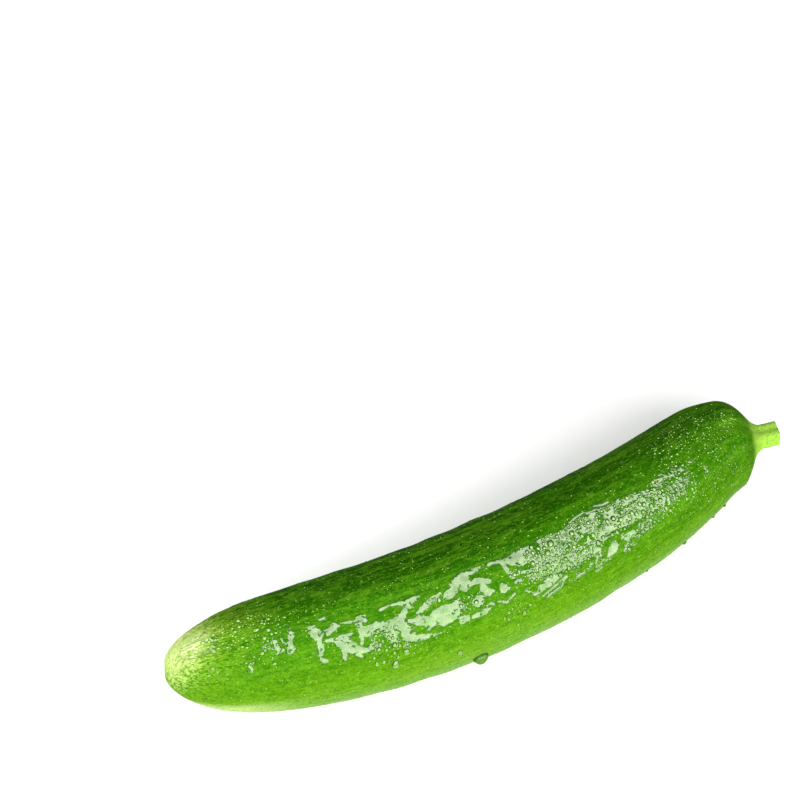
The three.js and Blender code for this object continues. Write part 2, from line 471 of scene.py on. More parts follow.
def skin_colour(f):
    """The skin's colour, its grain, and the height of its fine relief."""
    straight = f.attribute("straight", 1)
    along, across, up = f.parts_of(straight)
    noises = {name: f.noise(f.stretched(straight, squeeze), *settings)
              for name, (squeeze, *settings) in PATTERNS.items()}
    colour = body_colour(f, along, across, up, noises)
    colour = tip_colour(f, colour, along, across, up, noises)

    distance = f.cells(straight, SPECK_SCALE)
    choice = f.parts_of(f.cells(straight, SPECK_SCALE, output=1))[0]
    specks = (1 - distance.step(*SPECK_RIM)) * choice.step(*SPECK_CHOICE)
    colour = f.mixed(specks * 0.35, colour, SPECK_GREEN)

    colour = f.mixed(f.attribute("stalk", 2), colour, STALK_GREEN)
    colour = f.mixed(f.attribute("cut", 2), colour, CUT_GREEN)
    grain = noises["grain"]
    colour = f.mixed(grain.step(0.50, 0.36) * 0.42, colour, DEEP_GREEN)
    return colour, grain, grain * 0.6 + noises["mottle"] * 0.6 + noises["streaks"] * 0.6 + specks * 0.5


def dry_skin():
    f = Finish("cucumber_skin")
    colour, grain, height = skin_colour(f)
    _, across, up = f.parts_of(f.attribute("straight", 1))
    low_side = (up * -1 - across * 0.15).step(*WET_LOW_SIDE_FADE)
    return f.surface(f.node("ShaderNodeBsdfPrincipled", None, {
        "Base Color": colour, "Roughness": grain * 0.14 + 0.38, "Normal": f.bump(height, 0.00015, 0.8),
        "IOR": 1.45, "Specular IOR Level": 0.0, "Coat Weight": low_side * 0.3 + 0.02,
        "Coat Roughness": 0.08, "Coat IOR": 1.33}))


def wet_skin():
    """Skin under a thin film of water: its own colour under a smooth clear gloss, with painted shade at the
    rim and a painted glint.
    """
    f = Finish("wet_skin")
    colour = skin_colour(f)[0]
    rim = f.attribute("rim", 2)
    # Painted shade darkens the water's rim and a painted glint lightens the drops low down
    colour = f.mixed(rim * 0.8, colour, WATER_EDGE_SHADE)
    colour = f.mixed(f.attribute("glint", 2) * 0.7, colour, WATER_GLINT)
    straight = f.attribute("straight", 1)
    evenness = f.noise(straight, 0.45, 3).step(0.35, 0.60) * 0.35 + 0.65
    drier_back = f.parts_of(straight)[1].step(*DRIER_BACK_FADE) * -0.6 + 1
    return f.surface(f.node("ShaderNodeBsdfPrincipled", None, {
        "Base Color": colour, "Roughness": 0.45, "IOR": 1.45, "Specular IOR Level": 0.0,
        "Coat Weight": evenness * drier_back * (rim * -0.95 + 1),
        "Coat Roughness": 0.03, "Coat IOR": 1.6}))


def make_skin():
    share = np.arange(1, SKIN_RINGS + 1) / SKIN_RINGS
    eased = 0.5 - 0.5 * np.cos(math.pi * share)
    side_rows = (RING_GATHERING * eased + (1 - RING_GATHERING) * share) * TOTAL_LENGTH
    rows = np.concatenate([side_rows, np.array(CUT_RISE) * CUT_EASE + TOTAL_LENGTH])
    inset = np.concatenate([np.zeros(SKIN_RINGS), np.array(CUT_INSET) * CUT_EASE])[:, None]
    angles = np.arange(SKIN_SIDES) * 2 * math.pi / SKIN_SIDES
    along, angle = np.meshgrid(rows, angles, indexing="ij")
    body = skin_point(along, angle, -inset * np.ones_like(angle))
    tip = skin_point(np.array([0.0]), np.array([0.0]))
    end = place_on_axis(rows[-1:], np.array([0.0]), np.array([0.0])) + CENTRE
    points = np.concatenate([tip, body.reshape(-1, 3), end])
    skin = new_object("cucumber_skin", points, ringed_faces(len(rows), SKIN_SIDES), dry_skin())

    def with_ends(values, first, last):
        return np.concatenate([[first], (values + 0 * angle).ravel(), [last]])

    add_skin_places(skin, with_ends(along, 0, rows[-1]), with_ends(angle, 0, 0), with_ends(inset, 0, 0))
    stalk = from_stalk(along, STALK_COLOUR_START)
    add_attribute(skin, "stalk", "FLOAT", with_ends(stalk, 0, 1))
    add_attribute(skin, "cut", "FLOAT", with_ends(smoothstep(inset, *CUT_COLOUR_INSET), 0, 1))
    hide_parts("cucumber")
    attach(skin, "root")


# Water on the skin. Places are in millimetres: u along the axis from the blossom tip, and v round the skin
# from the line that the light catches best, growing downwards on the front.
BAND_ANGLE = math.radians(126)
V_RADIUS = 16.5
WATER_SUNK = 0.05
UNDERSIDE_SUNK = 0.07
EDGE_SLOPE = 0.8
RIM_WIDTH = 0.13
# How far in from a film's edge its painted rim shade reaches
RIM_DARK = 0.12
LOWER_RIM = 1.3
DAB_SPREAD = 0.34
DAB_MELT = 0.25
FAR_OUTSIDE = -9.0
DRY = -3.0
STAND_CLEAR_REACH = 0.6
THINNEST_FILM = 0.10
FILM_SWELL = 0.07

# How the films' outlines fray: broad bumps along and round, then fine ones, as height, length and width
FRAY_ALONG = (1.0, 1.1, 1.0)
FRAY_ROUND = (1.2, 1.3, 1.2)
FRAY_FINE = (0.8, 0.45)
GAP_FRAY = 0.4
# Strands and streaks follow the middle value of a noise: how wide, how steep, and its bumps' length and width
STRANDS = (0.36, 2.6, 1.3, 1.2)
STREAKS = (0.62, 2.8, 3.4, 0.9)
PIT_CELL = (0.9, 0.7)
PIT_SLOPE = 2.2
PITS_ANYWHERE = 0.10
PITS_IN_PITTED = 0.15

# The grids that films are laid on: u from and to, v from and to, and the cell
FRONT = (3.0, 168.0, -20.0, 14.0, 0.15)
BACK = (8.0, 166.0, 54.0, 80.0, 0.28)
# The most cells that go in one piece of film
FULL_PIECE = 46000

# Beads: their smallest radius and how much more the largest have, which shrinks towards the shoulder
BEAD_SIZE = (0.18, 0.42)
SHOULDER_BEADS = (136.0, 148.0, 0.35)
BEAD_SPACING = 0.20
TRIES_PER_BEAD = 6
# The ball that a bead's dome is cut from, in bead radii
BEAD_BALL = 1.25
BEAD_DIP = 0.02
SINK_IN_FILM = 0.03
BEAD_STRETCH = (0.8, 1.35)

# Fine beads: how many, u from and to, v from and to, and the largest radius
FINE_BEADS = (
    (2200, (4, 168), (-62, 32), 0.26),
    (420, (134, 167), (-12, 16), 0.30),
    (400, (16, 134), (-9, 12), 0.28),
)
SMALLEST_FINE_BEAD = 0.10

DROP_RINGS = 14
DROP_SIDES = 44

# Flat films, each laid as a run of round dabs: u, v, radius
FILMS = (
    ((20.9, 3.4, 0.35), (20.8, 5.4, 0.4)),
    ((27.1, -2.0, 0.25), (27.5, 0.4, 0.3)),
    ((31.2, -4.2, 0.2), (30.9, -2.2, 0.35), (30.6, -0.3, 0.25), (30.7, 1.5, 0.7)),
    ((36.2, -2.6, 0.8), (37.1, -0.9, 0.95)),
    ((35.7, -3.6, 0.25), (36.9, -3.7, 0.15)),
    ((38.6, -5.0, 0.25), (39.5, -5.1, 0.35)),
    ((39.6, -1.3, 0.75), (41.0, -2.1, 0.65), (42.3, -2.0, 0.25)),
    ((43.7, -2.4, 0.14), (45.4, -2.1, 0.18)),
    ((46.5, -1.9, 0.25), (47.3, -2.7, 0.22), (48.9, -2.8, 0.12)),
    ((37.2, 0.9, 0.45), (37.3, 3.0, 0.6), (37.1, 5.0, 0.42), (37.5, 6.2, 0.25), (38.3, 6.5, 0.12)),
    ((41.3, 1.7, 0.5), (43.0, 3.0, 1.5), (45.2, 5.2, 1.25), (46.9, 6.0, 0.85)),
    ((42.5, 5.2, 0.6), (42.4, 7.2, 0.15)),
    ((45.6, 6.6, 0.6), (45.9, 7.5, 0.3)),
    ((39.0, 1.0, 0.25), (41.0, 1.3, 0.3)),
    ((42.0, 1.0, 0.3), (44.8, 0.9, 0.2)),
    ((47.4, 0.6, 0.8), (48.4, 1.7, 0.9)),
    ((47.0, 2.4, 0.3), (46.9, 4.2, 0.12)),
    ((49.2, 0.8, 0.5), (52.0, 0.4, 0.45), (53.2, 1.4, 0.9)),
    ((53.4, 1.6, 1.1), (54.2, 4.2, 0.95), (54.2, 6.6, 0.55), (54.6, 7.6, 0.2)),
    ((54.4, 1.0, 0.9), (56.4, 0.8, 1.0), (57.6, -0.2, 0.55), (58.5, -0.9, 0.2)),
    ((49.0, 5.6, 0.7), (50.4, 6.2, 0.35)),
    ((56.7, 2.4, 1.1), (57.1, 4.8, 0.75), (56.8, 7.0, 0.4), (56.7, 8.6, 0.35)),
    ((55.9, -3.3, 0.22), (58.0, -3.2, 0.4)),
    ((58.4, -2.9, 0.6), (59.5, -2.1, 0.85), (60.8, -2.9, 0.3), (62.6, -3.3, 0.14)),
    ((52.9, -3.0, 0.22), (55.0, -3.4, 0.14)),
    ((59.2, 2.2, 0.6), (60.6, 2.6, 1.05), (62.2, 3.0, 1.2)),
    ((63.4, 4.0, 1.7), (66.2, 3.7, 2.1), (68.8, 3.4, 2.1)),
    ((58.6, 6.6, 0.85), (61.0, 6.9, 0.7), (63.6, 7.4, 0.22), (65.0, 7.6, 0.15)),
    ((61.2, 0.5, 0.3), (63.4, -0.2, 0.5), (65.8, -1.6, 0.42), (67.6, -2.0, 0.22)),
    ((68.8, -0.5, 0.6), (70.8, -1.8, 0.75), (72.4, -3.2, 1.05), (74.2, -3.7, 0.85), (76.0, -4.2, 0.3),
     (79.3, -4.5, 0.12)),
    ((73.2, -1.2, 0.35), (74.8, -2.4, 0.45)),
    ((70.4, 1.6, 0.7), (71.4, 2.4, 0.5)),
    ((71.0, 6.2, 0.75), (72.2, 6.2, 0.5)),
    ((73.6, 6.6, 0.2), (76.4, 6.5, 0.28), (78.6, 5.4, 0.5)),
    ((73.6, -0.4, 0.22), (75.0, -1.5, 0.28), (76.6, -1.8, 0.38), (78.6, -1.1, 0.5), (79.9, -0.5, 0.28)),
    ((78.2, 0.6, 0.75), (78.8, 1.8, 0.85)),
    ((77.0, 1.6, 0.45), (76.2, 3.0, 0.85), (75.5, 4.5, 0.35)),
    ((82.7, 1.6, 0.35), (82.7, 3.1, 0.75), (83.8, 3.5, 0.4)),
    ((81.4, -4.4, 0.12), (84.6, -4.1, 0.35)),
    ((85.4, -3.4, 0.5), (87.4, -3.0, 1.6), (89.6, -2.6, 1.9), (91.8, -2.8, 1.5)),
    ((84.6, -3.6, 0.3), (85.0, -1.5, 0.22), (85.6, 0.8, 0.3)),
    ((86.2, 2.5, 0.4), (87.2, 2.7, 0.35)),
    ((88.4, 0.8, 0.28), (91.4, 1.8, 0.32)),
    ((80.4, 5.2, 0.12), (82.2, 6.4, 0.14), (84.6, 5.1, 0.12)),
    ((89.6, 7.6, 0.45), (92.4, 6.6, 0.85), (95.2, 5.9, 0.75), (97.4, 6.1, 0.25)),
    ((87.6, 5.6, 0.12), (89.2, 7.2, 0.14)),
    ((91.4, 8.9, 0.1), (94.2, 8.1, 0.12), (97.4, 7.2, 0.1)),
    ((92.4, 9.7, 0.1), (96.0, 8.9, 0.25), (98.6, 6.8, 0.14)),
    ((93.0, -1.8, 2.7), (99.0, -1.2, 3.4), (106.0, -1.0, 3.6), (113.0, -1.0, 3.7), (121.0, -0.7, 3.5),
     (126.5, 0.2, 3.2), (129.4, 0.8, 2.3)),
    ((90.5, 2.6, 1.3), (96.0, 3.6, 1.4), (103.0, 3.9, 1.3), (109.0, 3.9, 1.0)),
    ((111.2, 8.0, 0.45), (112.4, 6.6, 1.2), (113.2, 5.6, 1.0)),
    ((117.2, 5.4, 1.1), (118.8, 5.4, 1.1)),
    ((122.0, 5.6, 1.3), (124.0, 5.7, 1.3)),
    ((115.6, 8.5, 0.4), (116.4, 8.7, 0.3)),
    ((101.2, 8.4, 0.2), (103.2, 8.2, 0.25)),
    ((106.4, 9.7, 0.2), (108.0, 9.6, 0.2)),
    ((109.2, 3.4, 0.15), (108.8, 6.4, 0.15)),
    ((105.5, -5.3, 0.12), (108.0, -5.9, 0.14), (110.0, -6.0, 0.12)),
    ((110.6, -5.4, 0.16), (113.0, -5.2, 0.18)),
    ((113.6, -6.2, 0.16), (115.4, -5.5, 0.2), (117.2, -5.4, 0.14)),
    ((132.6, 3.7, 0.8), (133.4, 1.8, 1.1), (134.4, 0.9, 0.7)),
    ((128.2, 0.8, 0.25), (129.6, 1.8, 0.38), (130.2, 3.0, 0.22)),
    ((135.6, 0.4, 0.2), (136.1, 2.0, 0.22), (135.6, 4.0, 0.15)),
    ((136.9, 0.2, 0.3), (137.2, 2.8, 0.75), (137.0, 4.4, 0.4)),
    ((138.0, -0.2, 0.2), (139.8, 1.5, 0.2)),
    ((138.2, -2.6, 0.7), (140.2, -1.8, 0.5)),
    ((131.0, -3.0, 0.6), (134.0, -3.1, 0.4)),
    ((146.2, 1.6, 0.18), (146.8, 3.4, 0.28)),
    ((143.4, -2.4, 0.18), (144.0, -2.0, 0.22)),
)

# Gaps in them that show the skin, each a run of dabs too
GAPS = (
    ((93.4, -5.0, 0.6), (94.4, -3.6, 0.9), (94.0, -1.9, 0.5)),
    ((103.6, 1.3, 0.2), (105.6, 0.5, 0.65), (107.6, -0.5, 0.4)),
    ((103.0, 2.3, 0.12), (105.4, 2.7, 0.18), (107.6, 2.2, 0.10)),
    ((108.4, 1.8, 0.3), (108.2, -0.2, 0.2)),
    ((111.8, 2.4, 0.12), (114.0, 2.3, 0.18), (116.4, 2.7, 0.12)),
    ((88.4, 1.3, 0.12), (90.4, 2.0, 0.18), (92.2, 2.8, 0.12)),
    ((80.6, 4.6, 0.15), (84.0, 3.9, 0.35), (86.4, 3.0, 0.2)),
    ((118.4, -2.4, 0.12), (121.4, -1.6, 0.25), (123.6, -1.9, 0.12)),
    ((117.0, 3.2, 0.2), (119.6, 3.6, 0.4), (124.4, 3.4, 0.35)),
    ((126.6, -1.2, 0.15), (128.6, 0.4, 0.3), (127.6, 2.4, 0.2)),
    ((99.4, 1.4, 0.12), (101.4, 1.0, 0.22), (102.4, -0.6, 0.12)),
)

# Torn films, with only strands left: u, v, half length and half width
TORN = (
    (51.0, 3.0, 2.3, 2.8), (58.6, 4.6, 1.0, 1.7), (72.8, 2.4, 2.6, 2.2), (65.4, -0.9, 1.8, 0.8),
    (77.6, 5.4, 2.2, 0.7), (86.6, 0.2, 1.6, 1.0), (136.0, -0.5, 5.5, 4.5), (49.5, 6.5, 1.6, 1.0),
    (92.0, 4.4, 3.4, 0.9), (104.5, 6.4, 5.0, 1.4), (127.5, 4.6, 3.6, 1.6), (107.6, 7.0, 4.0, 2.2),
    (118.4, 7.6, 3.2, 1.4), (100.5, 8.2, 3.2, 1.1), (27.0, -0.6, 3.0, 2.6),
    (47.6, -1.6, 2.0, 1.2),
)

# Films pitted all over with small ragged holes: u, v, half length and half width
PITTED = (
    (111.0, -0.4, 20.0, 4.6), (52.0, 3.4, 3.2, 3.4), (74.0, 1.6, 3.0, 3.0), (93.0, 3.0, 4.0, 2.2),
    (36.6, -2.6, 1.6, 1.2),
)

# The streaky film over the blossom end
TIP_VEIL = (9.2, -6.6, 5.2, 4.8)

# Places crowded with beads: u, v, half length, half width, how many
CROWDED = (
    (51.6, 4.4, 2.6, 3.2, 40), (65.4, -0.9, 1.8, 0.8, 10), (73.2, 2.8, 2.2, 2.0, 16),
    (86.4, 0.2, 1.8, 1.0, 12),
    (92.6, -1.0, 2.6, 3.4, 40), (99.0, -0.6, 5.0, 4.4, 110), (107.0, -0.6, 6.0, 4.4, 80),
    (116.0, -0.6, 6.0, 4.2, 60), (124.0, -0.2, 5.0, 4.2, 44), (131.0, 0.2, 4.0, 4.4, 30),
    (91.0, 3.0, 4.0, 1.8, 40), (100.0, 4.6, 7.0, 1.3, 50), (127.0, 5.6, 7.0, 1.6, 40),
    (54.0, 9.0, 7.0, 2.6, 26), (84.0, 9.6, 4.0, 1.6, 16), (138.0, 3.0, 5.0, 5.0, 60),
    (24.0, 0.0, 5.0, 5.0, 24),
    (13.5, 5.5, 3.0, 2.6, 12), (28.0, -7.0, 5.0, 3.0, 14), (20.0, -7.0, 10.0, 5.0, 70),
    (151.0, -8.0, 14.0, 9.0, 190), (155.0, 4.0, 10.0, 6.0, 50),
)

# Calm places among them, with no beads
CALM = (
    (107.0, -1.4, 2.2, 0.6), (115.0, -2.6, 2.6, 0.8), (112.4, 1.4, 2.4, 0.8), (88.4, -2.9, 2.2, 1.6),
    (106.4, 0.6, 2.0, 1.4), (122.5, -2.6, 2.4, 0.6), (131.0, 3.0, 1.6, 1.6), (96.2, -0.9, 1.0, 1.0),
    (98.0, -2.7, 1.1, 1.1), (95.0, 1.9, 0.9, 0.9), (94.6, -3.0, 0.9, 0.9),
)

# Single drops: u, v, radius, how much longer they are downwards, and how full they stand
DROPS = (
    (98.0, -2.7, 0.85, 1.0, 1.0), (96.2, -0.9, 0.75, 1.0, 1.0),
    (95.0, 1.9, 0.65, 1.0, 1.0), (94.6, -3.0, 0.6, 1.0, 1.0), (128.4, -2.6, 0.6, 1.1, 1.0),
    (23.4, -6.4, 0.9, 0.7, 1.0), (12.2, 3.0, 0.55, 1.2, 1.0), (56.5, 9.6, 0.8, 1.1, 1.0),
    (53.6, 12.4, 0.95, 1.3, 1.0), (81.8, 11.0, 0.5, 0.8, 1.0), (116.6, 8.8, 0.6, 1.0, 1.0),
    (74.4, 21.3, 1.95, 0.9, 2.0), (135.5, 22.6, 0.6, 1.0, 1.6), (69.0, 15.4, 0.8, 0.8, 1.0),
    (143.2, 11.4, 0.5, 1.0, 1.0), (152.6, 13.6, 0.45, 1.3, 1.0), (147.2, 8.0, 0.40, 1.4, 1.0),
    (146.5, 22.2, 0.45, 1.2, 1.5), (151.0, 21.8, 0.50, 0.9, 1.5), (122.5, 22.4, 0.40, 1.0, 1.5),
)


def scattered(u, v, cell_u, cell_v, seed):
    """Smooth noise from 0 to 1, whose bumps are that many millimetres long and wide."""
    count = 160
    lattice = np.random.default_rng(seed).random((count, count))
    x, y = np.asarray(u) / cell_u + count, np.asarray(v) / cell_v + count
    i, j = np.floor(x).astype(int), np.floor(y).astype(int)
    s, t = smoothstep(x - i, 0, 1), smoothstep(y - j, 0, 1)
    low = lattice[i % count, j % count] * (1 - s) + lattice[(i + 1) % count, j % count] * s
    high = lattice[i % count, (j + 1) % count] * (1 - s) + lattice[(i + 1) % count, (j + 1) % count] * s
    return low * (1 - t) + high * t


def in_dabs(u, v, dabs):
    """How far inside a run of dabs, in millimetres; it is negative outside."""
    deepest = np.full(u.shape, FAR_OUTSIDE)
    for (u0, v0, r0), (u1, v1, r1) in zip(dabs, dabs[1:]):
        du, dv = u1 - u0, v1 - v0
        share = np.clip(((u - u0) * du + (v - v0) * dv) / (du * du + dv * dv), 0, 1)
        away = np.hypot(u - u0 - share * du, v - v0 - share * dv)
        deepest = np.maximum(deepest, r0 + (r1 - r0) * share - away)
    return deepest


def in_oval(u, v, oval):
    """How far inside an oval, in millimetres; it is negative outside."""
    at_u, at_v, half_length, half_width = oval[:4]
    return (1 - np.hypot((u - at_u) / half_length, (v - at_v) / half_width)) * min(half_length, half_width)


def film_lift(inside, thickness, rim_width):
    """The height of a flat film with a rounded rim. Outside it dips under the skin."""
    film = thickness * (1 - np.exp(-np.maximum(inside, 0) / rim_width))
    return np.where(inside > 0, film, np.maximum(inside * EDGE_SLOPE, -WATER_SUNK))


def stand_clear(inside, us, vs, beads):
    """Opens a round gap in the film under each bead that stands in it."""
    for at_u, at_v, size in beads:
        reach = size + STAND_CLEAR_REACH
        rows = slice(*np.searchsorted(us, [at_u - reach, at_u + reach]))
        cols = slice(*np.searchsorted(vs, [at_v - reach, at_v + reach]))
        away = np.hypot(us[rows][:, None] - at_u, vs[cols][None, :] - at_v) - size
        inside[rows, cols] = np.minimum(inside[rows, cols], away)


def frayed(u, v, bumps, seed, fine_seed):
    """A shift in millimetres, uneven from place to place, that frays an outline."""
    height, length, width = bumps
    fine_height, fine_cell = FRAY_FINE
    fine = fine_height * scattered(u, v, fine_cell, fine_cell, fine_seed)
    return height * scattered(u, v, length, width, seed) + fine - (height + fine_height) / 2


def thread_like(u, v, shape, seed):
    """How far inside winding threads, along the middle value of a noise."""
    half_width, slope, length, width = shape
    return half_width - np.abs(scattered(u, v, length, width, seed) - 0.5) * slope


def lay_front_films(u, v, warp_u, warp_v, seed):
    """How far inside the films of the photographed side, in millimetres, before beads stand in them."""
    inside = np.full(u.shape, DRY)
    for dabs in FILMS:
        # Narrow films fray less than wide ones
        calm = min(max(radius for _, _, radius in dabs) * 0.9, 0.75)
        film = in_dabs(u + warp_u * calm, v + warp_v * calm, dabs) + DAB_SPREAD
        inside = soft_most(inside, film, DAB_MELT)
    strands = thread_like(u + warp_u, v + warp_v, STRANDS, seed + 7)
    for oval in TORN:
        inside = np.maximum(inside, np.minimum(strands, in_oval(u, v, oval)))
    streaks = thread_like(u + warp_u, v + warp_v * 0.5, STREAKS, seed + 9)
    inside = np.maximum(inside, np.minimum(streaks, in_oval(u + warp_u, v + warp_v, TIP_VEIL)))
    pits = scattered(u + warp_u, v + warp_v, *PIT_CELL, seed + 8)
    inside = np.minimum(inside, (pits - PITS_ANYWHERE) * PIT_SLOPE)
    for oval in PITTED:
        inside = np.minimum(inside, np.maximum((pits - PITS_IN_PITTED) * PIT_SLOPE, -in_oval(u, v, oval)))
    for dabs in GAPS:
        inside = np.minimum(inside, -in_dabs(u + warp_u * GAP_FRAY, v + warp_v * GAP_FRAY, dabs))
    return inside


def lay_back_films(u, v, warp_u, warp_v, seed):
    """How far inside the scattered patches of film on the hidden side, in millimetres."""
    patches = 0.6 * scattered(u, v, 11, 7, seed + 4) + 0.4 * scattered(u, v, 4, 3, seed + 5)
    outline = (patches - 0.68) * 9 + (warp_u + warp_v) * 0.5
    return np.minimum(outline, (scattered(u, v, 1, 1, seed + 8) - 0.2) * 2)


def lay_water(grid, seed, beads):
    """The height of the water over the skin and how much painted shade its rim gets, at each corner of a
    grid.
    """
    u_from, u_to, v_from, v_to, cell = grid
    us, vs = np.arange(u_from, u_to, cell), np.arange(v_from, v_to, cell)
    u, v = np.meshgrid(us, vs, indexing="ij")
    warp_u = frayed(u, v, FRAY_ALONG, seed, seed + 1)
    warp_v = frayed(u, v, FRAY_ROUND, seed + 2, seed + 6)
    thickness = THINNEST_FILM + FILM_SWELL * scattered(u, v, 5, 3, seed + 3)
    if beads is None:
        inside = lay_back_films(u, v, warp_u, warp_v, seed)
    else:
        inside = lay_front_films(u, v, warp_u, warp_v, seed)
        stand_clear(inside, us, vs, beads)
    edge = np.minimum(np.minimum(u - u_from, u_to - u), np.minimum(v - v_from, v_to - v)) - 1.0
    inside = np.minimum(inside, edge)
    # The painted shade at a film's rim is widest along its lower edge, where the water gathers
    slope_u, slope_v = np.gradient(inside)
    lower_edge = smoothstep(-slope_v / np.maximum(np.hypot(slope_u, slope_v), 1e-6), 0.1, 0.9)
    dark = 1 - smoothstep(inside, 0.0, RIM_DARK * (1 + LOWER_RIM * lower_edge))
    return us, vs, film_lift(inside, thickness, RIM_WIDTH), dark


def whole_bodies(wet):
    """A number for each wet cell, the same for all the cells of one body of water."""
    far = wet.size
    mark = np.where(wet, np.arange(far).reshape(wet.shape), far)
    while True:
        padded = np.pad(mark, 1, constant_values=far)
        low = mark
        for i in range(3):
            for j in range(3):
                low = np.minimum(low, padded[i:i + mark.shape[0], j:j + mark.shape[1]])
        low = np.where(wet, low, far)
        if (low == mark).all():
            return mark
        mark = low


def water_piece(name, us, vs, lift, dark, cells, material):
    """A closed body over the chosen cells: its top, and a floor just under the skin."""
    rows, cols = np.nonzero(cells)
    width = lift.shape[1]
    corner = rows * width + cols
    quads = np.stack([corner, corner + 1, corner + width + 1, corner + width], 1)
    used, places = np.unique(quads, return_inverse=True)
    quads = places.reshape(quads.shape)
    u, v = us[used // width], vs[used % width]
    height = lift.ravel()[used]
    rim = height <= 0
    angle = BAND_ANGLE + v / V_RADIUS
    top = skin_point(u * MM, angle, height * MM)
    floor = skin_point(u * MM, angle, np.where(rim, height, -UNDERSIDE_SUNK) * MM)
    faces = [quads, quads[:, ::-1] + len(used)]
    made = new_object(name, np.concatenate([top, floor]), faces, material)
    add_skin_places(made, np.tile(u * MM, 2), np.tile(angle, 2))
    # The rim attribute holds painted shade
    add_attribute(made, "rim", "FLOAT", np.tile(dark.ravel()[used], 2))
    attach(made, "root")
    return made


def make_films(name, grid, seed, material, beads=None):
    us, vs, lift, dark = lay_water(grid, seed, beads)
    low = np.maximum(np.maximum(lift[:-1, :-1], lift[1:, :-1]), np.maximum(lift[:-1, 1:], lift[1:, 1:]))
    mark = whole_bodies(low > 0)
    bodies, sizes = np.unique(mark[mark < mark.size], return_counts=True)
    filled = np.cumsum(sizes) // FULL_PIECE
    for number in range(int(filled[-1]) + 1):
        chosen = np.isin(mark, bodies[filled == number])
        water_piece(f"{name}_{number + 1}", us, vs, lift, dark, chosen, material)
    return us, vs, lift


def crowd_beads():
    """Beads that don't overlap, in the crowded places: rows of u, v and radius."""
    rng = np.random.default_rng(17)
    beads = np.array([(u, v, radius) for u, v, radius, _, _ in DROPS])
    single = len(beads)
    shrink_from, shrink_to, shrinking = SHOULDER_BEADS
    for *oval, wanted in CROWDED:
        at_u, at_v, half_length, half_width = oval
        found = 0
        for _ in range(wanted * TRIES_PER_BEAD):
            reach, bearing = math.sqrt(rng.random()), rng.uniform(0, 2 * math.pi)
            u = at_u + half_length * reach * math.cos(bearing)
            v = at_v + half_width * reach * math.sin(bearing)
            size = BEAD_SIZE[0] + BEAD_SIZE[1] * rng.random() ** 2
            size *= 1 - shrinking * smoothstep(u, shrink_from, shrink_to)
            clear = np.hypot(beads[:, 0] - u, beads[:, 1] - v) > beads[:, 2] + size + BEAD_SPACING
            if clear.all() and all(in_oval(u, v, calm) < 0 for calm in CALM):
                beads = np.append(beads, [(u, v, size)], 0)
                found += 1
            if found == wanted:
                break
    return beads[single:]


def make_beads(name, places, rings, sides, material, film, rim_shade):
    """Single beads: rows of u, v and radius, each a closed lens on the skin or on the film it stands on."""
    rng = np.random.default_rng(len(places))
    places = np.asarray(places)
    share = np.array([0.0, *np.linspace(0.45, 1, rings)])
    rise = np.sqrt(BEAD_BALL**2 - share**2) - math.sqrt(BEAD_BALL**2 - 1)
    bearing = np.arange(sides) * 2 * math.pi / sides
    out_u = [np.zeros(1)] + [s * np.cos(bearing) for s in share[1:]] + [np.zeros(1)]
    out_v = [np.zeros(1)] + [s * np.sin(bearing) for s in share[1:]] + [np.zeros(1)]
    lift = [rise[:1]] + [np.full(sides, r) for r in rise[1:]] + [np.array([-0.1])]
    out_u, out_v, lift = (np.concatenate(part) for part in (out_u, out_v, lift))
    sunk = np.where(lift <= 0, -BEAD_DIP, 0)
    u, v, size = places[:, :1], places[:, 1:2], places[:, 2:3]
    us, vs, depth = film
    i = np.clip(np.searchsorted(us, u), 0, len(us) - 1)
    j = np.clip(np.searchsorted(vs, v), 0, len(vs) - 1)
    stands_on = np.maximum(depth[i, j] - SINK_IN_FILM, 0)
    stretch = rng.uniform(*BEAD_STRETCH, size.shape)
    across = v + out_v * size * stretch
    along, angle = (u + out_u * size) * MM, BAND_ANGLE + across / V_RADIUS
    points = skin_point(along, angle, (lift * size + sunk + stands_on) * MM)
    first = (np.arange(len(places)) * len(lift))[:, None, None]
    faces = [(part[None] + first).reshape(-1, part.shape[1]) for part in ringed_faces(rings, sides)]
    made = new_object(name, points.reshape(-1, 3), faces, material)
    add_skin_places(made, along.ravel(), angle.ravel())
    outward = np.hypot(out_u, out_v)
    # Painted shade round the rim, less on the lower side, and a painted glint low down; beads with less rim
    # shade are painted lighter all over
    dark = smoothstep(outward, 0.6, 1.0) * (1 - 0.5 * smoothstep(out_v, 0, 0.5)) * rim_shade
    light = smoothstep(out_v, 0.0, 0.6) * (1 - smoothstep(outward, 0.75, 1.0)) + (1 - rim_shade) * 0.5
    add_attribute(made, "rim", "FLOAT", np.tile(dark, len(places)))
    add_attribute(made, "glint", "FLOAT", np.tile(light, len(places)))
    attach(made, "root")
    return made


